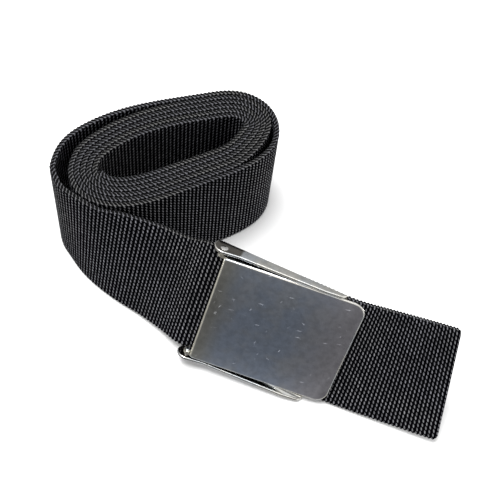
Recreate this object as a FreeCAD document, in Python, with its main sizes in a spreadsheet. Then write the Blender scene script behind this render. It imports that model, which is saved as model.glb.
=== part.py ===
"""Dive weight belt: a 50 mm webbing strap wound on its edge, with a stainless cam-lever buckle near one end.

Frame: +Z up, +X along the belt's longest side towards the strap's tail, +Y away from the buckle's face.
The origin is the centre of the belt's box, on the surface it stands on. Sizes are in millimetres.
"""
import FreeCAD, Part
import math
import os

import Sketcher

V = FreeCAD.Vector
ORIGIN_POINT = (-1, 1)

DRIVING = {
    # webbing
    "webbing_width": 50.0,
    "webbing_thickness": 2.0,
    "turn_pitch": 2.25,
    "turn_count": 6,
    "right_end_gap": 2.2,
    # where the middle of the buckle's ear end stands, and how the buckle is turned
    "buckle_x": -18.5,
    "buckle_y": -22.05,
    "buckle_z": 26.6,
    "buckle_yaw": -13.49,
    "buckle_lean": 61.93,
    "buckle_dip": -3.82,
    # buckle base, a folded sheet channel
    "gauge": 1.1,
    "base_length": 52.6,
    "base_width": 53.4,
    "fold_round": 1.8,
    "ear_x": 4.4,
    "ear_round": 3.95,
    "ear_tangent": 77.3,
    "shoulder_x": 11.5,
    "shoulder_height": 6.4,
    "wall_end_x": 44.5,
    "wall_end_height": 4.4,
    "nose_round": 3.6,
    "slot_start": 23.0,
    "slot_end": 38.0,
    "slot_width": 50.8,
    # hinge rivets
    "pin_x": 4.6,
    "pin_height": 5.1,
    "pin_radius": 1.1,
    "pin_play": 0.06,
    "pin_fit": 0.02,
    "pin_inner_end": 22.9,
    "head_radius": 1.5,
    "head_height": 0.3,
    # cam lever
    "lever_start": 5.9,
    "lever_end": 61.0,
    "lever_width": 49.0,
    "lever_top_start": 8.1,
    "lever_top_end": 1.35,
    "lever_skew": 0.7,
    "lever_corner": 5.0,
    "hinge_corner": 1.5,
    "cam_height": 3.42,
    "tab_radius": 1.72,
    "tab_reach": 4.5,
    "tooth_pitch": 3.5,
    "tooth_depth": 1.4,
    "tooth_gap": 2.4,
    "tooth_gaps": 12,
}

# Centre line of the coil's outermost turn, seen from above, from the left end round to the left end again.
# It runs along -Y at both ends.
END_TANGENT = V(0, -1, 0)
OUTER_TURN = [
    (-73.0, 12.3), (-71.4, 5.5), (-66.2, -0.3), (-56.3, -3.0), (-43.6, 0.0), (-31.0, 7.3), (-18.2, 15.7),
    (-4.9, 25.7), (1.5, 35.3), (1.8, 44.3), (-3.4, 53.2), (-14.2, 57.6), (-29.8, 53.6), (-44.9, 47.5),
    (-59.6, 40.1), (-70.5, 31.9), (-78.4, 21.4), (-80.0, 12.3),
]

# Points taken along each turn.
COIL_STEPS = 60

# Strap stations: the centre of the strap's thickness at its lower edge, and the direction from there to the
# upper edge. First the run from the coil to the buckle, which leans back more and more.
RUN = [
    ((-80.0, 12.3, 0.0), (0.00, 0.00, 1.00)),
    ((-79.7, 9.1, 0.0), (0.00, 0.00, 1.00)),
    ((-78.7, 6.3, 0.02), (0.01, 0.00, 1.00)),
    ((-77.1, 3.5, 0.04), (0.02, -0.01, 1.00)),
    ((-74.2, 0.1, 0.05), (0.03, 0.00, 1.00)),
    ((-71.6, -2.9, 0.08), (0.05, 0.03, 1.00)),
    ((-69.0, -5.6, 0.1), (0.06, 0.05, 1.00)),
    ((-66.4, -8.0, 0.15), (0.08, 0.07, 0.99)),
    ((-63.6, -10.2, 0.2), (0.09, 0.09, 0.99)),
    ((-60.2, -12.6, 0.3), (0.10, 0.14, 0.99)),
    ((-56.7, -14.8, 0.4), (0.11, 0.18, 0.98)),
    ((-52.5, -17.1, 0.6), (0.13, 0.22, 0.97)),
    ((-48.2, -19.4, 0.8), (0.14, 0.25, 0.96)),
    ((-42.2, -22.3, 1.3), (0.16, 0.28, 0.95)),
    ((-36.1, -25.9, 2.1), (0.17, 0.31, 0.94)),
    ((-31.0, -29.3, 3.2), (0.18, 0.35, 0.92)),
]

# Then through the buckle: the distance along the buckle, and the strap's centre height over the back of the
# base. It passes over the plate under the cam, goes down through the slot and comes out behind the buckle.
THREADING = [
    (0.2, 2.12), (3.0, 2.2), (12.0, 2.2), (23.2, 2.2), (24.8, 2.05), (26.4, 1.6), (28.2, 0.9),
    (30.2, 0.1), (32.2, -0.6), (34.0, -1.02), (36.0, -1.2), (39.0, -1.25), (46.0, -1.25), (54.0, -1.25),
]

# Last the tail, as in the run. Its end is cut aslant.
TAIL = [
    ((36.0, -47.7, 0.7), (0.16, 0.45, 0.88)),
    ((47.0, -50.2, 0.9), (0.11, 0.48, 0.87)),
    ((59.0, -52.9, 1.4), (0.06, 0.51, 0.86)),
    ((71.0, -55.6, 2.0), (0.01, 0.54, 0.84)),
    ((80.7, -57.75, 2.6), (-0.03, 0.56, 0.83)),
]

doc = FreeCAD.newDocument("dive_weight_belt")
sheet = doc.addObject("Spreadsheet::Sheet", "sizes")
for row, (alias, value) in enumerate(DRIVING.items(), start=1):
    sheet.set(f"A{row}", alias)
    sheet.set(f"B{row}", str(value))
    sheet.setAlias(f"B{row}", alias)
doc.recompute()

probe = doc.addObject("App::FeaturePython", "probe")
probe.addProperty("App::PropertyFloat", "number")


def size(expression):
    """The number that an expression of the sheet's names gives."""
    probe.setExpression("number", expression)
    probe.recompute()
    return probe.number


# ---------------------------------------------------------------- sketches and features

def pin_point(sketch, geometry, end, x, y):
    """Tie one end of a sketch segment to the expressions x and y."""
    for kind, expression in (("DistanceX", x), ("DistanceY", y)):
        here = size(expression)
        index = sketch.addConstraint(Sketcher.Constraint(kind, *ORIGIN_POINT, geometry, end, here))
        sketch.setExpression(f"Constraints[{index}]", expression)


def add_outline(sketch, corners):
    """A closed counter-clockwise outline. A corner is (x, y), or (x, y, radius) where an arc leaves it."""
    for corner, following in zip(corners, corners[1:] + corners[:1]):
        start = V(size(corner[0]), size(corner[1]), 0)
        end = V(size(following[0]), size(following[1]), 0)
        if len(corner) == 2:
            geometry = sketch.addGeometry(Part.LineSegment(start, end), False)
        else:
            radius = size(corner[2])
            chord = end - start
            rise = math.sqrt(max(radius ** 2 - chord.Length ** 2 / 4, 0.0))
            centre = (start + end) * 0.5 + V(-chord.y, chord.x, 0) * (rise / chord.Length)
            angles = [math.atan2(p.y - centre.y, p.x - centre.x) for p in (start, end)]
            circle = Part.Circle(centre, V(0, 0, 1), radius)
            geometry = sketch.addGeometry(Part.ArcOfCircle(circle, *angles), False)
            index = sketch.addConstraint(Sketcher.Constraint("Radius", geometry, radius))
            sketch.setExpression(f"Constraints[{index}]", corner[2])
        pin_point(sketch, geometry, 1, corner[0], corner[1])
        pin_point(sketch, geometry, 2, following[0], following[1])


def add_circle(sketch, x, y, radius):
    circle = Part.Circle(V(size(x), size(y), 0), V(0, 0, 1), size(radius))
    geometry = sketch.addGeometry(circle, False)
    pin_point(sketch, geometry, 3, x, y)
    index = sketch.addConstraint(Sketcher.Constraint("Radius", geometry, size(radius)))
    sketch.setExpression(f"Constraints[{index}]", radius)


def add_rectangle(sketch, left, bottom, right, top):
    add_outline(sketch, [(left, bottom), (right, bottom), (right, top), (left, top)])


def new_body(label):
    body = doc.addObject("PartDesign::Body", label)
    body.Label = label
    return body


def body_sketch(body, name, plane, away=None):
    """An empty sketch on a plane of the body, moved along that plane's normal by the expression away."""
    sketch = body.newObject("Sketcher::SketchObject", name)
    support = next(item for item in body.Origin.OriginFeatures if item.Role == plane)
    sketch.AttachmentSupport = [(support, "")]
    sketch.MapMode = "FlatFace"
    if away:
        sketch.setExpression("AttachmentOffset.Base.z", away)
    return sketch


def pad(body, sketch, length, both_ways=False):
    feature = body.newObject("PartDesign::Pad", sketch.Name + "_pad")
    feature.Profile = sketch
    feature.Midplane = both_ways
    feature.setExpression("Length", length)
    doc.recompute()
    return feature


def pocket(body, sketch, length=None, reverse=False):
    """Cut a sketch out of the body: all the way through both ways, or to a length."""
    feature = body.newObject("PartDesign::Pocket", sketch.Name + "_cut")
    feature.Profile = sketch
    if length:
        feature.setExpression("Length", length)
        feature.Reversed = reverse
    else:
        feature.Type = "ThroughAll"
        feature.Midplane = True
    doc.recompute()
    return feature


def buckle_placement():
    place = V(size("sizes.buckle_x"), size("sizes.buckle_y"), size("sizes.buckle_z"))
    yaw = FreeCAD.Rotation(V(0, 0, 1), size("sizes.buckle_yaw"))
    lean = FreeCAD.Rotation(V(1, 0, 0), size("sizes.buckle_lean"))
    dip = FreeCAD.Rotation(V(0, 0, 1), size("sizes.buckle_dip"))
    return FreeCAD.Placement(place, yaw * lean * dip)


BUCKLE = buckle_placement()


# ---------------------------------------------------------------- webbing strap

def side_gap(fraction, widest_left):
    """The extra space inside the outermost turn, by how far round the turn it is."""
    right_start, right_end, left_start = 0.35, 0.54, 0.70
    if right_start < fraction < right_end:
        part = (fraction - right_start) / (right_end - right_start)
        return size("sizes.right_end_gap") * math.sin(math.pi * part) ** 2
    if fraction < left_start:
        return 0.0
    part = (fraction - left_start) / (1 - left_start)
    return widest_left * (3 - 2 * part) * part ** 2


def smooth_curve(points, end_tangent=None):
    """A curve through the points, by distance along it. Both its ends can be given one unit tangent."""
    distances = [0.0]
    for here, following in zip(points, points[1:]):
        distances.append(distances[-1] + (following - here).Length)
    tangents = {}
    if end_tangent:
        tangents = {"InitialTangent": end_tangent, "FinalTangent": end_tangent, "Scale": False}
    curve = Part.BSplineCurve()
    curve.interpolate(Points=points, Parameters=distances, **tangents)
    return curve


def coil_points():
    """Points along the coil's centre line from its inner end outwards, with the normals to its inside."""
    pitch = size("sizes.turn_pitch")
    turns = int(size("sizes.turn_count"))
    line = smooth_curve([V(x, y, 0) for x, y in OUTER_TURN], END_TANGENT)
    first, last = line.FirstParameter, line.LastParameter
    widest_left = OUTER_TURN[0][0] - OUTER_TURN[-1][0] - pitch
    gaps = [side_gap(step / COIL_STEPS, widest_left) for step in range(COIL_STEPS + 1)]
    found = []
    for turn in range(turns - 1, -1, -1):
        for step in range(COIL_STEPS if turn else COIL_STEPS + 1):
            at = first + (last - first) * step / COIL_STEPS
            along = line.tangent(at)[0]
            inward = V(-along.y, along.x, 0)
            depth = turn * pitch + (gaps[step] if turn else 0.0)
            found.append((line.value(at) + inward * depth, inward))
    return found


def coil_outline():
    """The coil's plan as one face between its two long curves, each in short lengths."""
    half = size("sizes.webbing_thickness") / 2
    centre = coil_points()
    edges = []
    ends = []
    for side in (-half, half):
        points = [point + inward * side for point, inward in centre]
        curve = smooth_curve(points)
        cuts = [curve.parameter(point) for point in points[::COIL_STEPS // 4]]
        for start, end in zip(cuts, cuts[1:]):
            piece = curve.copy()
            piece.segment(start, end)
            edges.append(piece.toShape())
        ends.append((points[0], points[-1]))
    edges += [Part.makeLine(outer, inner) for outer, inner in zip(*ends)]
    outline = doc.addObject("Part::Feature", "coil_outline")
    outline.Shape = Part.Face(Part.Wire(Part.__sortEdges__(edges)))
    return outline


def strap_stations():
    width = size("sizes.webbing_width")
    across_buckle = BUCKLE.Rotation.multVec(V(0, 1, 0))
    stations = [(V(*foot), V(*across)) for foot, across in RUN]
    for along, height in THREADING:
        stations.append((BUCKLE.multVec(V(along, -width / 2, height)), across_buckle))
    stations += [(V(*foot), V(*across)) for foot, across in TAIL]
    return stations


def strap_section(number, foot, across, along):
    """The strap's cross-section at a station, as a sketch."""
    across = V(across).normalize()
    through = across.cross(along).normalize()
    sketch = doc.addObject("Sketcher::SketchObject", f"strap_section_{number}")
    half = "sizes.webbing_thickness / 2"
    add_rectangle(sketch, f"-{half}", "0", half, "sizes.webbing_width")
    sketch.Placement = FreeCAD.Placement(foot, FreeCAD.Rotation(through, across, V(0, 0, 0), "XYZ"))
    return sketch


def make_strap():
    coil = doc.addObject("Part::Extrusion", "coil")
    coil.Base = coil_outline()
    coil.DirMode = "Custom"
    coil.Dir = V(0, 0, 1)
    coil.Solid = True
    coil.setExpression("LengthFwd", "sizes.webbing_width")
    stations = strap_stations()
    feet = [foot for foot, _ in stations]
    sections = []
    for number, (foot, across) in enumerate(stations):
        before = feet[max(number - 1, 0)]
        after = feet[min(number + 1, len(feet) - 1)]
        along = V(0, -1, 0) if number == 0 else after - before
        sections.append(strap_section(number, foot, across, along))
    run = doc.addObject("Part::Loft", "strap_run")
    run.Sections = sections
    run.Solid = True
    run.Ruled = True
    strap = doc.addObject("Part::Fuse", "webbing_strap")
    strap.Base = coil
    strap.Tool = run
    strap.Label = "webbing_strap"
    doc.recompute()
    strap.Placement = FreeCAD.Placement()
    return strap


# ---------------------------------------------------------------- buckle base

def make_base():
    """A channel folded from sheet: plate, two walls with rounded ears, a slot for the strap, pin holes."""
    body = new_body("buckle_base")
    half = "sizes.base_width / 2"
    inner = f"({half} - sizes.gauge)"
    top = "2 * sizes.ear_round"
    section = body_sketch(body, "channel_section", "YZ_Plane")
    add_outline(section, [
        (f"-{half} + sizes.fold_round", "0"),
        (f"{half} - sizes.fold_round", "0", "sizes.fold_round"),
        (half, "sizes.fold_round"),
        (half, top),
        (inner, top),
        (inner, "sizes.gauge"),
        (f"-{inner}", "sizes.gauge"),
        (f"-{inner}", top),
        (f"-{half}", top),
        (f"-{half}", "sizes.fold_round", "sizes.fold_round"),
    ])
    pad(body, section, "sizes.base_length")

    trim = body_sketch(body, "wall_profile", "XZ_Plane")
    add_outline(trim, [
        ("sizes.ear_x", "0"),
        ("sizes.base_length", "0", "sizes.nose_round"),
        ("sizes.base_length - sizes.nose_round", "sizes.nose_round"),
        ("sizes.wall_end_x", "sizes.wall_end_height"),
        ("sizes.shoulder_x", "sizes.shoulder_height"),
        (
            "sizes.ear_x + sizes.ear_round * cos(sizes.ear_tangent)",
            "sizes.ear_round + sizes.ear_round * sin(sizes.ear_tangent)",
            "sizes.ear_round",
        ),
        ("sizes.ear_x - sizes.ear_round", "sizes.ear_round", "sizes.ear_round"),
    ])
    add_rectangle(trim, "-5", "-5", "sizes.base_length + 5", f"{top} + 5")
    pocket(body, trim)

    slot = body_sketch(body, "strap_slot", "XY_Plane")
    add_rectangle(
        slot, "sizes.slot_start", "-sizes.slot_width / 2", "sizes.slot_end", "sizes.slot_width / 2"
    )
    pocket(body, slot)

    holes = body_sketch(body, "base_pin_holes", "XZ_Plane")
    add_circle(holes, "sizes.pin_x", "sizes.pin_height", "sizes.pin_radius + sizes.pin_fit")
    pocket(body, holes)
    body.Placement = BUCKLE
    return body


# ---------------------------------------------------------------- cam lever

def make_lever():
    """A sheet lever, its hinge end bent down into a toothed cam with a side tab at each end."""
    body = new_body("cam_lever")
    fall = "((sizes.lever_top_start - sizes.lever_top_end) / (sizes.lever_end - sizes.lever_start))"
    flange_back = "(sizes.lever_start + sizes.gauge)"
    under_back = f"(sizes.lever_top_start - sizes.gauge - {fall} * sizes.gauge)"

    side = body_sketch(body, "lever_profile", "XZ_Plane")
    add_outline(side, [
        ("sizes.lever_start", "sizes.cam_height"),
        (flange_back, "sizes.cam_height"),
        (flange_back, under_back),
        ("sizes.lever_end", "sizes.lever_top_end - sizes.gauge"),
        ("sizes.lever_end", "sizes.lever_top_end"),
        ("sizes.lever_start + sizes.gauge", f"sizes.lever_top_start - {fall} * sizes.gauge", "sizes.gauge"),
        ("sizes.lever_start", "sizes.lever_top_start - sizes.gauge"),
    ])
    pad(body, side, "sizes.lever_width + 2 * sizes.lever_skew", both_ways=True)

    half = "sizes.lever_width / 2"
    plan = body_sketch(body, "lever_plan", "XY_Plane")
    add_outline(plan, [
        ("sizes.lever_start + sizes.hinge_corner", f"-{half}"),
        ("sizes.lever_end - sizes.lever_corner", f"-{half} + sizes.lever_skew", "sizes.lever_corner"),
        ("sizes.lever_end", f"-{half} + sizes.lever_skew + sizes.lever_corner"),
        ("sizes.lever_end", f"{half} + sizes.lever_skew - sizes.lever_corner", "sizes.lever_corner"),
        ("sizes.lever_end - sizes.lever_corner", f"{half} + sizes.lever_skew"),
        ("sizes.lever_start + sizes.hinge_corner", half, "sizes.hinge_corner"),
        ("sizes.lever_start", f"{half} - sizes.hinge_corner"),
        ("sizes.lever_start", f"-{half} + sizes.hinge_corner", "sizes.hinge_corner"),
    ])
    add_rectangle(plan, "-5", f"-{half} - 5", "sizes.lever_end + 5", f"{half} + 5")
    pocket(body, plan)

    tab_top = f"(sizes.lever_top_start - {fall} * sizes.tab_reach - sizes.gauge / 2)"
    low = "sizes.pin_height - sizes.tab_radius"
    for name, away in (
        ("tab_profile_lower", "sizes.lever_width / 2 - sizes.gauge"),
        ("tab_profile_upper", "-sizes.lever_width / 2"),
    ):
        tab = body_sketch(body, name, "XZ_Plane", away)
        add_outline(tab, [
            ("sizes.pin_x", low),
            ("sizes.pin_x + sizes.tab_reach - 1", low),
            ("sizes.lever_start + sizes.tab_reach", tab_top),
            ("sizes.lever_start + 0.4", "sizes.lever_top_start - sizes.gauge"),
            ("sizes.pin_x", "sizes.pin_height + sizes.tab_radius", "sizes.tab_radius"),
            ("sizes.pin_x - sizes.tab_radius", "sizes.pin_height", "sizes.tab_radius"),
        ])
        pad(body, tab, "sizes.gauge")

    holes = body_sketch(body, "lever_pin_holes", "XZ_Plane")
    add_circle(holes, "sizes.pin_x", "sizes.pin_height", "sizes.pin_radius + sizes.pin_play")
    pocket(body, holes)

    first = "(-(sizes.tooth_gaps - 1) / 2 * sizes.tooth_pitch)"
    notch = body_sketch(body, "tooth_gap_profile", "YZ_Plane", "sizes.lever_start - 1")
    add_outline(notch, [
        (f"{first} - sizes.tooth_gap / 2", "sizes.cam_height - 0.5"),
        (f"{first} + sizes.tooth_gap / 2", "sizes.cam_height - 0.5"),
        (f"{first} + 0.2", "sizes.cam_height + sizes.tooth_depth"),
        (f"{first} - 0.2", "sizes.cam_height + sizes.tooth_depth"),
    ])
    cut = pocket(body, notch, "sizes.gauge + 2", reverse=True)
    row = body.newObject("PartDesign::LinearPattern", "tooth_gap_row")
    row.Originals = [cut]
    row.Direction = (notch, ["H_Axis"])
    row.setExpression("Length", "(sizes.tooth_gaps - 1) * sizes.tooth_pitch")
    row.setExpression("Occurrences", "sizes.tooth_gaps")
    body.Tip = row
    doc.recompute()
    body.Placement = BUCKLE
    return body


# ---------------------------------------------------------------- hinge rivets

def make_rivet(label, outwards):
    """A short pin through one ear of the base and one tab of the lever, with a low domed head outside the ear.

    It is turned about the buckle's Y axis; outwards is 1 for the upper ear and -1 for the lower.
    """
    body = new_body(label)
    dome = "((pow(sizes.head_radius; 2) + pow(sizes.head_height; 2)) / (2 * sizes.head_height))"
    profile = body_sketch(body, label + "_profile", "XY_Plane")
    add_outline(profile, [
        ("0", "sizes.pin_inner_end"),
        ("sizes.pin_radius", "sizes.pin_inner_end"),
        ("sizes.pin_radius", "sizes.base_width / 2"),
        ("sizes.head_radius", "sizes.base_width / 2", dome),
        ("0", "sizes.base_width / 2 + sizes.head_height"),
    ])
    turned = body.newObject("PartDesign::Revolution", label + "_turned")
    turned.Profile = profile
    turned.ReferenceAxis = (profile, ["V_Axis"])
    turned.Angle = 360
    doc.recompute()
    facing = FreeCAD.Rotation(V(1, 0, 0), 0 if outwards > 0 else 180)
    seat = FreeCAD.Placement(V(size("sizes.pin_x"), 0, size("sizes.pin_height")), facing)
    body.Placement = BUCKLE.multiply(seat)
    return body


# ---------------------------------------------------------------- build, check and export

nodes = {
    "webbing_strap": make_strap(),
    "buckle_base": make_base(),
    "cam_lever": make_lever(),
    "hinge_rivet_lower": make_rivet("hinge_rivet_lower", -1),
    "hinge_rivet_upper": make_rivet("hinge_rivet_upper", 1),
}
doc.removeObject(probe.Name)
doc.recompute()

for item in doc.Objects:
    if "Invalid" in item.State or "Error" in item.State:
        raise RuntimeError(f"{item.Label}: {item.State}")

os.makedirs("parts", exist_ok=True)
for node, item in nodes.items():
    if item.Shape.isNull() or not item.Shape.isValid():
        raise RuntimeError(f"{node}: the shape is empty or not valid")
    item.Shape.exportStep(f"parts/{node}.step")
    box = item.Shape.BoundBox
    print(node, len(item.Shape.Solids), round(item.Shape.Volume, 1), box)
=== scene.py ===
"""Dive weight belt: ribbed webbing wound on its edge, through a stainless cam-lever buckle."""
import math

import bmesh
import bpy
import numpy as np
from mathutils import Matrix, Vector


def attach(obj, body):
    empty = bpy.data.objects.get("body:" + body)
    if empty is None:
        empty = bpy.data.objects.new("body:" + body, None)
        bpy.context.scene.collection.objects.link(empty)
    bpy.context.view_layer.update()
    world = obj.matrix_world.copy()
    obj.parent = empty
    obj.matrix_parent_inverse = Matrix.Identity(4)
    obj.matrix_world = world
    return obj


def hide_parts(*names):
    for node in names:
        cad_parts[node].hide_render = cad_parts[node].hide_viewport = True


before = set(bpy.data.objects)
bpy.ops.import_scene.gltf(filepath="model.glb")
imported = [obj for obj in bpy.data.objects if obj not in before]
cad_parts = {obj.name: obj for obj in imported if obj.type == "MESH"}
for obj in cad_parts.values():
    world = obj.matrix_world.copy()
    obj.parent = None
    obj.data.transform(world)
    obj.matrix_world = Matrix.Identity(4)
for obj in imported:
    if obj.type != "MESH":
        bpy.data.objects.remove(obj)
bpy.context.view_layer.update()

MM = 0.001

# ---------------------------------------------------------------- webbing sizes, in millimetres

WIDTH = 50.0
HALF_THICKNESS = 1.0
TURN_PITCH = 2.25
TURNS = 6
RIGHT_END_GAP = 2.2
RIB_PITCH = 1.6
RIB_HEIGHT = 0.13
BEAD_PITCH = 1.9
SAMPLES_PER_RIB = 4
SELVEDGE_HEIGHT = 0.28
COIL_STEPS = 60

# The strap's ends: rounded corners, and a last stretch that is sealed and pressed thinner.
END_CORNER = 2.4
SEALED_LENGTH = 0.9
SEALED_SHARE = 0.62

# The buckle presses the ribs flat from just before its hinge end to just past its nose.
PRESSED_FROM = -4.0
PRESSED_TO = 58.0
PRESS_FADE = 4.0
PRESSED_WITHIN = 4.0
PRESSED_SHARE = 0.8

WEB_GROOVE = (0.0010, 0.0010, 0.0016)
# The grooves on the edge loops are painted lighter: painted light between the coil's turns.
WEB_EDGE_GROOVE_PAINTED_LIGHT = (0.0060, 0.0060, 0.0062)
# The crests' colour is a painted highlight on the tops of the yarn beads.
WEB_CREST_HIGHLIGHT = (0.245, 0.247, 0.275)
WEB_WARM = (0.050, 0.046, 0.012)

# Each entry is a tint and the two distances along the buckle between which it grows from nothing to full.
# The lever is olive beside its hinge and violet grey towards its free end, and the cream on its bend is a
# painted highlight.
LEVER_TINTS_AND_HIGHLIGHT = [
    ((0.44, 0.44, 0.41), 17.0, 7.5),
    # A painted highlight: the lever's bend, where the light catches it, painted cream.
    ((0.84, 0.81, 0.70), 6.9, 6.5),
    ((0.58, 0.565, 0.61), 34.0, 62.0),
]

# The buckle base is painted dark round its hinge rivets: a painted reflection of the dark coil behind its
# ears.
EAR_DARK_REFLECTION = [((0.17, 0.16, 0.145), 11.8, 10.8)]

SCRATCH_TINT = (0.62, 0.64, 0.68)

# Centre line of the coil's outermost turn, from the left end round to the left end again.
OUTER_TURN = [
    (-73.0, 12.3), (-71.4, 5.5), (-66.2, -0.3), (-56.3, -3.0), (-43.6, 0.0), (-31.0, 7.3), (-18.2, 15.7),
    (-4.9, 25.7), (1.5, 35.3), (1.8, 44.3), (-3.4, 53.2), (-14.2, 57.6), (-29.8, 53.6), (-44.9, 47.5),
    (-59.6, 40.1), (-70.5, 31.9), (-78.4, 21.4), (-80.0, 12.3),
]

# Stations of the run from the coil to the buckle: the strap's centre at its lower edge, and the direction
# from there to its upper edge.
RUN = [
    ((-79.7, 9.1, 0.0), (0.00, 0.00, 1.00)),
    ((-78.7, 6.3, 0.0), (0.01, 0.00, 1.00)),
    ((-77.1, 3.5, 0.0), (0.02, -0.01, 1.00)),
    ((-74.2, 0.1, 0.1), (0.03, 0.00, 1.00)),
    ((-69.0, -5.6, 0.1), (0.06, 0.05, 1.00)),
    ((-63.6, -10.2, 0.2), (0.09, 0.09, 0.99)),
    ((-56.7, -14.8, 0.4), (0.11, 0.18, 0.98)),
    ((-48.2, -19.4, 0.8), (0.14, 0.25, 0.96)),
    ((-42.2, -22.3, 1.3), (0.16, 0.28, 0.95)),
    ((-36.1, -25.9, 2.1), (0.17, 0.31, 0.94)),
    ((-31.0, -29.3, 3.2), (0.18, 0.35, 0.92)),
]

# Distance along the buckle, and the strap's centre height over the back of the base.
THREADING = [
    (0.2, 2.12), (3.0, 2.2), (12.0, 2.2), (22.6, 2.2), (25.6, 1.85), (28.2, 0.9), (30.2, 0.1),
    (32.4, -0.65), (35.4, -1.15), (39.0, -1.25), (46.0, -1.25), (54.0, -1.25),
]

TAIL = [
    ((36.0, -47.7, 0.7), (0.16, 0.45, 0.88)),
    ((47.0, -50.2, 0.9), (0.11, 0.48, 0.87)),
    ((59.0, -52.9, 1.4), (0.06, 0.51, 0.86)),
    ((71.0, -55.6, 2.0), (0.01, 0.54, 0.84)),
    ((80.7, -57.75, 2.6), (-0.03, 0.56, 0.83)),
]

# The buckle's own axes: x along it to its nose, y to its upper edge, z out of its face.
BUCKLE_ORIGIN = Vector((-18.5, -22.05, 26.6))
BUCKLE_YAW, BUCKLE_LEAN, BUCKLE_DIP = (math.radians(a) for a in (-13.49, 61.93, -3.82))
BUCKLE = (
    Matrix.Translation(BUCKLE_ORIGIN)
    @ Matrix.Rotation(BUCKLE_YAW, 4, "Z")
    @ Matrix.Rotation(BUCKLE_LEAN, 4, "X")
    @ Matrix.Rotation(BUCKLE_DIP, 4, "Z")
)

# Where the hinge axis lies in the buckle's axes, and the part of the lever that is taken up by its tabs.
PIN_X = 4.6
PIN_HEIGHT = 5.1
TAB_END_X = 10.6
TAB_TOP = 7.4

SHARP_ANGLE = math.radians(35)

# ---------------------------------------------------------------- stage, in metres

FLOOR_RADIUS = 0.6
FLOOR_WHITE = (0.90, 0.90, 0.90)

# The room's brightness in front and behind, then what is laid over it: the axis, the two values of a
# direction's part along it between which this grows from nothing to full, and its brightness.
FRONT_LEVEL, BACK_LEVEL = 0.20, 0.58
ROOM_PARTS = [
    ("x", 0.40, 0.80, 1.25),
    ("x", -0.62, -0.95, 0.60),
    ("z", 0.15, 0.80, 1.15),
    ("z", -0.46, -0.70, 1.00),
]

CAMERA_PLACE = Vector((-1.25, -195.7, 366.7)) * MM
CAMERA_PITCH, CAMERA_ROLL = math.radians(60.13), math.radians(8.63)
CAMERA_LENS = 72.0


# ---------------------------------------------------------------- node helpers

class Graph:
    """A material's or world's node tree, with short calls for what is used again and again."""

    def __init__(self, owner):
        owner.use_nodes = True
        self.tree = owner.node_tree
        self.tree.nodes.clear()

    def node(self, kind, **settings):
        made = self.tree.nodes.new(kind)
        for name, value in settings.items():
            setattr(made, name, value)
        return made

    def put(self, value, socket):
        if isinstance(value, bpy.types.NodeSocket):
            self.tree.links.new(value, socket)
        else:
            socket.default_value = value

    def math(self, operation, *values, clamp=False):
        made = self.node("ShaderNodeMath", operation=operation, use_clamp=clamp)
        for value, socket in zip(values, made.inputs):
            self.put(value, socket)
        return made.outputs[0]

    def add(self, a, b):
        return self.math("ADD", a, b)

    def sub(self, a, b):
        return self.math("SUBTRACT", a, b)

    def mul(self, a, b):
        return self.math("MULTIPLY", a, b)

    def ramp(self, value, low, high, smooth=True):
        """0 where value is below low, 1 above high."""
        made = self.node("ShaderNodeMapRange", clamp=True)
        made.interpolation_type = "SMOOTHSTEP" if smooth else "LINEAR"
        self.put(value, made.inputs["Value"])
        self.put(low, made.inputs["From Min"])
        self.put(high, made.inputs["From Max"])
        return made.outputs["Result"]

    def mix(self, factor, a, b):
        """Between two numbers."""
        made = self.node("ShaderNodeMix", data_type="FLOAT")
        for value, name in ((factor, 0), (a, 2), (b, 3)):
            self.put(value, made.inputs[name])
        return made.outputs[0]

    def mix_colour(self, factor, a, b, blend="MIX"):
        made = self.node("ShaderNodeMix", data_type="RGBA", blend_type=blend)
        for value, name in ((factor, 0), (a, 6), (b, 7)):
            self.put((*value, 1.0) if isinstance(value, tuple) else value, made.inputs[name])
        return made.outputs[2]

    def attribute(self, name):
        """The three parts of a vector attribute, and the vector."""
        read = self.node("ShaderNodeAttribute", attribute_name=name)
        split = self.node("ShaderNodeSeparateXYZ")
        self.put(read.outputs["Vector"], split.inputs[0])
        return (*split.outputs, read.outputs["Vector"])

    def vector(self, x, y, z):
        made = self.node("ShaderNodeCombineXYZ")
        for value, socket in zip((x, y, z), made.inputs):
            self.put(value, socket)
        return made.outputs[0]

    def noise(self, vector, scale, detail=2.0, roughness=0.5):
        made = self.node("ShaderNodeTexNoise")
        self.put(vector, made.inputs["Vector"])
        made.inputs["Scale"].default_value = scale
        made.inputs["Detail"].default_value = detail
        made.inputs["Roughness"].default_value = roughness
        return made.outputs["Fac"]

    def oval(self, across, half_across, along, half_along):
        """A domed spot: 1 in its middle and 0 on and outside its edge."""
        parts = [
            self.math("POWER", self.mul(self.math("ABSOLUTE", value), 1 / half), 2.0)
            for value, half in ((across, half_across), (along, half_along))
        ]
        return self.math("SUBTRACT", self.sub(1.0, parts[0]), parts[1], clamp=True)

    def random(self, vector):
        made = self.node("ShaderNodeTexWhiteNoise", noise_dimensions="3D")
        self.put(vector, made.inputs["Vector"])
        return made.outputs["Value"]

    def bump(self, height, distance, strength=1.0, normal=None):
        made = self.node("ShaderNodeBump")
        made.inputs["Strength"].default_value = strength
        made.inputs["Distance"].default_value = distance
        self.put(height, made.inputs["Height"])
        if normal:
            self.put(normal, made.inputs["Normal"])
        return made.outputs["Normal"]

    def surface(self, **values):
        """Finish with one Principled shader. Names are its sockets' names, with _ for a space."""
        shader = self.node("ShaderNodeBsdfPrincipled")
        for name, value in values.items():
            value = (*value, 1.0) if isinstance(value, tuple) and len(value) == 3 else value
            self.put(value, shader.inputs[name.replace("_", " ")])
        output = self.node("ShaderNodeOutputMaterial")
        self.put(shader.outputs[0], output.inputs["Surface"])


def new_material(name):
    material = bpy.data.materials.new(name)
    return material, Graph(material)


# ---------------------------------------------------------------- materials

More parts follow.
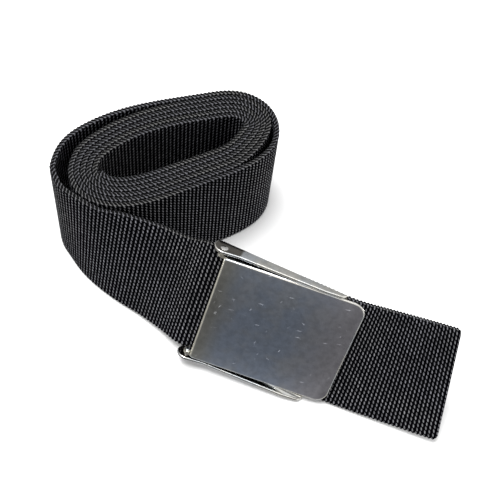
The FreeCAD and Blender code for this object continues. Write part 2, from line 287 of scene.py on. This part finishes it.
def webbing_material():
    """Rows of slanting two-strand yarn beads on the faces, and one chain of loops along each edge."""
    material, g = new_material("webbing")
    along, over, through, _ = g.attribute("weave")

    # Beads on the faces: one row per rib, every other row half a bead on, each with a shift of its own.
    rib = g.mul(along, 1 / RIB_PITCH)
    row = g.math("ROUND", rib)
    in_rib = g.sub(rib, row)
    row_shift = g.mul(g.random(g.vector(row, 3.1, 0.0)), 0.16)
    bead = g.add(g.mul(over, 1 / BEAD_PITCH), g.add(g.mul(row, 0.5), g.mul(in_rib, 0.85)))
    bead = g.add(bead, row_shift)
    column = g.math("ROUND", bead)
    in_bead = g.sub(bead, column)
    face_bead = g.oval(in_rib, 0.31, in_bead, 0.47)

    # Loops along the edges: a hole in each link, and the yarn crossing higher between the holes.
    chain = g.add(rib, g.mul(through, 0.50))
    link = g.math("ROUND", chain)
    in_link = g.sub(chain, link)
    hole = g.ramp(g.oval(in_link, 0.46, through, 0.80), 0.02, 0.36)
    rim = g.ramp(g.math("ABSOLUTE", through), 1.00, 0.70)
    crossing = g.add(0.30, g.mul(g.math("ABSOLUTE", in_link), 1.5))
    edge_bead = g.mul(g.mul(g.sub(1.0, hole), rim), crossing)

    from_middle = g.math("ABSOLUTE", g.sub(over, WIDTH / 2))
    edge = g.ramp(from_middle, WIDTH / 2 - 0.9, WIDTH / 2 - 0.3)
    beads = g.mix(edge, face_bead, edge_bead)

    # Every bead's painted highlight has a strength of its own, with slow clouds over the cloth and the two
    # strands in each bead.
    one_bead = g.random(g.vector(row, g.mix(edge, column, 90.0), link))
    cloud = g.noise(g.vector(g.mul(along, 0.05), g.mul(over, 0.08), 0.0), 1.0, 3.0)
    crest = g.ramp(beads, 0.16, 1.0)
    light = g.mul(crest, g.add(0.35, g.mul(one_bead, 0.65)))
    strand = g.math("COSINE", g.mul(in_bead, 4 * math.pi))
    strand = g.mix(edge, g.sub(0.92, g.mul(strand, 0.10)), 0.72)
    light = g.mul(light, g.mul(g.add(0.60, g.mul(cloud, 0.80)), strand))
    # Near-black grooves, a painted highlight on the crests, and a warm cast in places.
    # On the edge loops the grooves are lifted as painted light.
    groove = g.mix_colour(edge, WEB_GROOVE, WEB_EDGE_GROOVE_PAINTED_LIGHT)
    yarn = g.mix_colour(light, groove, WEB_CREST_HIGHLIGHT)
    warm = g.ramp(g.noise(g.vector(g.mul(along, 0.03), g.mul(over, 0.03), 7.0), 1.0, 1.0), 0.48, 0.66)
    warm = g.mul(g.mul(warm, light), g.mix(edge, 0.4, 1.0))
    colour = g.mix_colour(warm, yarn, WEB_WARM, blend="ADD")

    fibres = g.noise(g.vector(g.mul(along, 3.0), g.mul(over, 9.0), g.mul(through, 3.0)), 1.0, 2.0)
    g.surface(
        Base_Color=colour,
        Roughness=g.add(0.48, g.mul(fibres, 0.25)),
        Specular_IOR_Level=g.mul(crest, 0.42),
        Normal=g.bump(g.add(beads, g.mul(fibres, 0.25)), 0.00028, 0.9),
    )
    return material


def stroke_mask(g, x, y, angle, length, width, seed, share):
    """Short fine scratches, all leaning one way: 1 on a scratch."""
    turned_x = g.add(g.mul(x, math.cos(angle) / length), g.mul(y, math.sin(angle) / length))
    turned_y = g.add(g.mul(x, -math.sin(angle) / width), g.mul(y, math.cos(angle) / width))
    cells = g.node("ShaderNodeTexVoronoi", feature="F1")
    g.put(g.vector(turned_x, turned_y, seed), cells.inputs["Vector"])
    cells.inputs["Scale"].default_value = 1.0
    near = g.ramp(cells.outputs["Distance"], 0.26, 0.10)
    split = g.node("ShaderNodeSeparateColor")
    g.put(cells.outputs["Color"], split.inputs[0])
    return g.mul(near, g.ramp(split.outputs[0], 1 - share, 1.0 - share + 0.02))


def steel_material(name, colour, roughness, worn, tints_and_painted_light=()):
    """Stainless sheet with cloudy patches, fine scratches and specks."""
    material, g = new_material(name)
    x, y, z, place = g.attribute("buckle")
    cloud = g.noise(place, 0.085, 3.0, 0.55)
    grain = g.noise(g.vector(g.mul(x, 2.2), g.mul(y, 0.35), z), 1.0, 3.0, 0.6)
    speck = g.ramp(g.noise(place, 2.6, 1.0), 0.735, 0.80)
    marks = stroke_mask(g, x, y, 0.15, 5.2, 0.80, 1.0, 0.055)
    for angle, seed in ((-0.5, 2.0), (1.2, 3.0), (0.5, 4.0)):
        marks = g.math("MAXIMUM", marks, stroke_mask(g, x, y, angle, 3.6, 0.75, seed, 0.024))
    marks = g.mul(marks, g.add(0.25, g.mul(cloud, 0.8)))
    marks = g.mul(marks, worn)
    mottle = g.noise(place, 0.42, 2.0, 0.6)
    cool = tuple(part * share for part, share in zip(colour, (0.84, 0.90, 1.00)))
    tint = g.mix_colour(g.ramp(cloud, 0.38, 0.62), colour, cool)
    # Patches along the buckle: tints, with a painted highlight on the lever's bend and a painted reflection
    # on the base's ears.
    for patch_colour, none_at, full_at in tints_and_painted_light:
        tint = g.mix_colour(g.ramp(x, none_at, full_at), tint, patch_colour)
    tint = g.mix_colour(g.ramp(mottle, 0.30, 0.75), tint, (0.80, 0.80, 0.80), blend="MULTIPLY")
    tint = g.mix_colour(g.mul(marks, 0.8), tint, SCRATCH_TINT)
    rough = g.add(roughness, g.add(g.mul(cloud, 0.10), g.mul(marks, 0.30)))
    height = g.add(g.mul(grain, 0.4), g.add(g.mul(speck, 0.8), g.mul(marks, -0.8)))
    g.surface(
        Base_Color=tint,
        Metallic=g.sub(1.0, g.mul(g.add(marks, g.mul(speck, worn)), 0.45)),
        Roughness=g.add(rough, g.mul(speck, 0.2)),
        Normal=g.bump(height, 0.00001, 0.6),
    )
    return material


# ---------------------------------------------------------------- the strap's path

class Curve:
    """A cubic spline through points of any dimension, by distance along the first count of them."""

    def __init__(self, points, measured=None, end_tangent=None):
        self.points = np.array(points, float)
        line = self.points[:, :measured] if measured else self.points
        steps = np.linalg.norm(np.diff(line, axis=0), axis=1)
        self.at = np.concatenate([[0.0], np.cumsum(steps)])
        self.length = self.at[-1]
        count = len(self.points)
        system = np.zeros((count, count))
        right = np.zeros_like(self.points)
        slopes = np.diff(self.points, axis=0) / steps[:, None]
        for i in range(1, count - 1):
            system[i, i - 1:i + 2] = steps[i - 1], 2 * (steps[i - 1] + steps[i]), steps[i]
            right[i] = 6 * (slopes[i] - slopes[i - 1])
        system[0, 0] = system[-1, -1] = 1.0
        if end_tangent is not None:
            system[0, :2] = 2 * steps[0], steps[0]
            right[0] = 6 * (slopes[0] - end_tangent)
            system[-1, -2:] = steps[-1], 2 * steps[-1]
            right[-1] = 6 * (end_tangent - slopes[-1])
        self.bend = np.linalg.solve(system, right)

    def __call__(self, distance):
        index = np.clip(np.searchsorted(self.at, distance) - 1, 0, len(self.at) - 2)
        start, end = self.at[index], self.at[index + 1]
        step = end - start
        a = ((end - distance) / step)[:, None]
        b = ((distance - start) / step)[:, None]
        curved = (a ** 3 - a) * self.bend[index] + (b ** 3 - b) * self.bend[index + 1]
        return a * self.points[index] + b * self.points[index + 1] + curved * (step ** 2)[:, None] / 6


def side_gap(fraction, widest_left):
    """The extra space inside the outermost turn, by how far round the turn it is."""
    right_start, right_end, left_start = 0.35, 0.54, 0.70
    if right_start < fraction < right_end:
        part = (fraction - right_start) / (right_end - right_start)
        return RIGHT_END_GAP * math.sin(math.pi * part) ** 2
    if fraction < left_start:
        return 0.0
    part = (fraction - left_start) / (1 - left_start)
    return widest_left * (3 - 2 * part) * part ** 2


def coil_stations():
    outer = Curve(OUTER_TURN, end_tangent=np.array([0.0, -1.0]))
    widest_left = OUTER_TURN[0][0] - OUTER_TURN[-1][0] - TURN_PITCH
    distance = np.linspace(0.0, outer.length, COIL_STEPS + 1)
    line = outer(distance)
    before, after = (outer(np.clip(distance + step, 0, outer.length)) for step in (-0.05, 0.05))
    ahead = after - before
    ahead /= np.linalg.norm(ahead, axis=1)[:, None]
    inward = np.stack([-ahead[:, 1], ahead[:, 0]], axis=1)
    stations = []
    for turn in range(TURNS - 1, -1, -1):
        for step in range(COIL_STEPS if turn else COIL_STEPS + 1):
            gap = side_gap(step / COIL_STEPS, widest_left) if turn else 0.0
            x, y = line[step] + inward[step] * (turn * TURN_PITCH + gap)
            stations.append((x, y, 0.0, 0.0, 0.0, 1.0))
    return stations


def strap_stations():
    stations = coil_stations()
    stations += [(*foot, *across) for foot, across in RUN]
    across_buckle = BUCKLE.to_3x3() @ Vector((0, 1, 0))
    for along, height in THREADING:
        stations.append((*(BUCKLE @ Vector((along, -WIDTH / 2, height))), *across_buckle))
    return stations + [(*foot, *across) for foot, across in TAIL]


# ---------------------------------------------------------------- webbing strap

def strap_profile():
    """The strap's cross-section as (over, through, side) all the way round; side is -1, 0 or 1."""
    face = [1.0, 3.0, 7.0, 13.0, 19.0, 25.0, 31.0, 37.0, 43.0, 47.0, 49.0]
    edge = [(49.62, -0.92), (49.95, -0.50), (50.0, 0.0), (49.95, 0.50), (49.62, 0.92)]
    front = [(over, -HALF_THICKNESS, -1) for over in face]
    upper = [(over, through, 0) for over, through in edge]
    back = [(over, HALF_THICKNESS, 1) for over in reversed(face)]
    lower = [(WIDTH - over, through, 0) for over, through in reversed(edge)]
    return np.array(front + upper + back + lower, float)


def pressed_in_buckle(foot):
    """How much the ribs are pressed flat at each station: 1 within the buckle, 0 away from it."""
    to_buckle = np.array(BUCKLE.inverted())
    x, _, z = (foot @ to_buckle[:3, :3].T + to_buckle[:3, 3]).T
    near = np.clip((x - PRESSED_FROM) / PRESS_FADE, 0, 1) * np.clip((PRESSED_TO - x) / PRESS_FADE, 0, 1)
    return near * (np.abs(z) < PRESSED_WITHIN)


def ribbed_section(distance, length, pressed):
    """The profile at every distance, as over and depth, with its ribs, its edge loops and its sealed ends."""
    profile = strap_profile()
    over = np.repeat(profile[None, :, 0], len(distance), axis=0)
    depth = np.repeat(profile[None, :, 1], len(distance), axis=0)
    side = profile[None, :, 2]
    phase = 2 * math.pi * distance[:, None] / RIB_PITCH
    rib_height = RIB_HEIGHT * (1 - PRESSED_SHARE * pressed)
    depth += side * rib_height[:, None] * np.cos(phase)
    on_edge = side == 0
    outwards = np.sign(profile[None, :, 0] - WIDTH / 2)
    chain = np.cos(phase + 0.30 * 2 * math.pi * profile[None, :, 1])
    over += on_edge * outwards * SELVEDGE_HEIGHT * (chain - 1)

    for to_end in (length - distance, distance):
        in_corner = np.clip(END_CORNER - to_end, 0, None)
        inset = END_CORNER - np.sqrt(np.clip(END_CORNER ** 2 - in_corner ** 2, 0, None))
        squeeze = 1 - 2 * inset[:, None] / WIDTH
        over = WIDTH / 2 + (over - WIDTH / 2) * squeeze
        thin = SEALED_SHARE + (1 - SEALED_SHARE) * np.clip(to_end / SEALED_LENGTH, 0, 1) ** 0.5
        depth *= thin[:, None]
    return over, depth


def tube_faces(count, ring):
    """Faces between count + 1 rings of ring vertices each, and one face to close each end."""
    faces = []
    for i in range(count):
        here, following = i * ring, (i + 1) * ring
        for k in range(ring):
            after = (k + 1) % ring
            faces.append((here + k, here + after, following + after, following + k))
    faces.append(tuple(range(ring)))
    faces.append(tuple(count * ring + k for k in reversed(range(ring))))
    return faces


def strap_mesh(path):
    count = int(path.length / RIB_PITCH) * SAMPLES_PER_RIB
    distance = np.linspace(0.0, path.length, count + 1)
    station = path(distance)
    foot, across = station[:, :3], station[:, 3:]
    across /= np.linalg.norm(across, axis=1)[:, None]
    along = np.gradient(foot, axis=0)
    through = np.cross(across, along)
    through /= np.linalg.norm(through, axis=1)[:, None]
    over, depth = ribbed_section(distance, path.length, pressed_in_buckle(foot))
    points = (
        foot[:, None, :]
        + across[:, None, :] * over[:, :, None]
        + through[:, None, :] * depth[:, :, None]
    )
    ring = over.shape[1]
    vertices = (points * MM).reshape(-1, 3)
    mesh = bpy.data.meshes.new("webbing")
    mesh.from_pydata(vertices.tolist(), [], tube_faces(count, ring))
    weave = mesh.attributes.new("weave", "FLOAT_VECTOR", "POINT")
    values = np.stack([np.repeat(distance, ring), over.ravel(), depth.ravel()], axis=1)
    weave.data.foreach_set("vector", values.astype(np.float32).ravel())
    mesh.shade_smooth()
    mesh.materials.append(webbing_material())
    return mesh


def make_strap():
    path = Curve(strap_stations(), measured=3)
    mesh = strap_mesh(path)
    strap = bpy.data.objects.new("webbing", mesh)
    bpy.context.scene.collection.objects.link(strap)
    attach(strap, "belt")
    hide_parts("webbing_strap")
    print("strap length", round(path.length, 1), "mm")


# ---------------------------------------------------------------- buckle

def stays_sharp(node, place, sharp_within):
    """Pin holes and teeth are near the hinge axis and stay sharp, and so do the edges of the lever's tabs."""
    from_axis = math.hypot(place.x - PIN_X, place.z - PIN_HEIGHT)
    on_tab = node == "cam_lever" and place.x < TAB_END_X and place.z < TAB_TOP
    return from_axis <= sharp_within or on_tab


def rounded_copy(node, body, width, material, rim, sharp_within):
    """A copy of a CAD node with its sharp edges rounded and polished, standing for that node."""
    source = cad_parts[node]
    mesh = source.data.copy()
    mesh.materials.clear()
    mesh.materials.append(material)
    mesh.materials.append(rim)
    work = bmesh.new()
    work.from_mesh(mesh)
    bmesh.ops.remove_doubles(work, verts=work.verts, dist=1e-6)
    to_buckle = BUCKLE.inverted()
    weight = work.edges.layers.float.new("bevel_weight_edge")
    for edge in work.edges:
        middle = to_buckle @ ((edge.verts[0].co + edge.verts[1].co) / 2 / MM)
        turned = edge.calc_face_angle(0.0) > SHARP_ANGLE
        sharp = stays_sharp(node, middle, sharp_within)
        edge[weight] = 1.0 if turned and not sharp else 0.0
        edge.smooth = not (turned and sharp)
    work.to_mesh(mesh)
    work.free()
    made = bpy.data.objects.new(node + "_steel", mesh)
    bpy.context.scene.collection.objects.link(made)
    bevel = made.modifiers.new("round", "BEVEL")
    bevel.width = width * MM
    bevel.segments = 3
    bevel.limit_method = "WEIGHT"
    bevel.use_clamp_overlap = False
    bevel.loop_slide = False
    bevel.harden_normals = True
    bevel.material = 1
    mesh.shade_smooth()
    graph = bpy.context.evaluated_depsgraph_get()
    final = bpy.data.meshes.new_from_object(made.evaluated_get(graph))
    made.modifiers.clear()
    made.data = final
    places = [to_buckle @ (vertex.co / MM) for vertex in final.vertices]
    attribute = final.attributes.new("buckle", "FLOAT_VECTOR", "POINT")
    attribute.data.foreach_set("vector", [c for place in places for c in place])
    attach(made, body)
    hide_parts(node)


# ---------------------------------------------------------------- stage, lights and camera

def make_stage():
    material, g = new_material("floor")
    g.surface(Base_Color=FLOOR_WHITE, Roughness=0.8, Specular_IOR_Level=0.2)
    mesh = bpy.data.meshes.new("floor")
    work = bmesh.new()
    bmesh.ops.create_circle(work, cap_ends=True, segments=96, radius=FLOOR_RADIUS)
    work.to_mesh(mesh)
    work.free()
    floor = bpy.data.objects.new("floor", mesh)
    mesh.materials.append(material)
    bpy.context.scene.collection.objects.link(floor)
    floor.visible_glossy = False


def make_world():
    """A room that is bright except in front. The camera sees plain white.

    Polished steel doesn't reflect the floor, so the room's bright lower part stands in for it.
    """
    world = bpy.data.worlds.new("studio")
    bpy.context.scene.world = world
    g = Graph(world)
    where = g.node("ShaderNodeTexCoord")
    split = g.node("ShaderNodeSeparateXYZ")
    g.put(where.outputs["Generated"], split.inputs[0])
    axes = dict(zip("xyz", split.outputs))
    level = g.mix(g.ramp(axes["y"], -0.5, 0.6), FRONT_LEVEL, BACK_LEVEL)
    for axis, none_at, full_at, brightness in ROOM_PARTS:
        level = g.mix(g.ramp(axes[axis], none_at, full_at), level, brightness)
    seen = g.node("ShaderNodeLightPath")
    level = g.mix(seen.outputs["Is Camera Ray"], level, 1.0)
    background = g.node("ShaderNodeBackground")
    g.put(level, background.inputs["Strength"])
    output = g.node("ShaderNodeOutputWorld")
    g.put(background.outputs[0], output.inputs["Surface"])


def make_light(name, place, target, size, power):
    data = bpy.data.lights.new(name, "AREA")
    data.shape = "SQUARE"
    data.size = size
    data.energy = power
    light = bpy.data.objects.new(name, data)
    light.location = place
    light.rotation_mode = "QUATERNION"
    light.rotation_quaternion = (Vector(target) - Vector(place)).to_track_quat("-Z", "Y")
    bpy.context.scene.collection.objects.link(light)


def make_camera():
    data = bpy.data.cameras.new("camera")
    data.sensor_width = 36.0
    data.lens = CAMERA_LENS
    data.clip_start = 0.01
    camera = bpy.data.objects.new("camera", data)
    bpy.context.scene.collection.objects.link(camera)
    level_right = Vector((1, 0, 0))
    forward = Vector((0, math.cos(CAMERA_PITCH), -math.sin(CAMERA_PITCH)))
    level_up = Vector((0, math.sin(CAMERA_PITCH), math.cos(CAMERA_PITCH)))
    right = math.cos(CAMERA_ROLL) * level_right + math.sin(CAMERA_ROLL) * level_up
    up = -math.sin(CAMERA_ROLL) * level_right + math.cos(CAMERA_ROLL) * level_up
    turn = Matrix((right, up, -forward)).transposed().to_4x4()
    camera.matrix_world = Matrix.Translation(CAMERA_PLACE) @ turn
    bpy.context.scene.camera = camera


make_camera()
make_stage()
make_world()
make_light("key", (-0.24, 0.04, 1.20), (0.0, 0.0, 0.02), 0.6, 18.0)
bpy.context.scene.view_settings.view_transform = "Standard"

make_strap()
base_steel = steel_material("base_steel", (0.76, 0.75, 0.71), 0.10, 0.4, EAR_DARK_REFLECTION)
lever_steel = steel_material("lever_steel", (0.50, 0.54, 0.61), 0.27, 1.0, LEVER_TINTS_AND_HIGHLIGHT)
pin_steel = steel_material("pin_steel", (0.78, 0.77, 0.74), 0.14, 0.3)
rim_steel = steel_material("rim_steel", (0.90, 0.88, 0.82), 0.22, 0.2)
for node, body, slot, width, material, sharp_within in (
    ("buckle_base", "belt", "buckle_steel", 0.36, base_steel, 2.0),
    ("cam_lever", "lever", "lever_steel", 0.56, lever_steel, 3.2),
    ("hinge_rivet_lower", "belt", "pin_steel", 0.10, pin_steel, 0.0),
    ("hinge_rivet_upper", "belt", "pin_steel", 0.10, pin_steel, 0.0),
):
    rounded_copy(node, body, width, material, rim_steel, sharp_within)
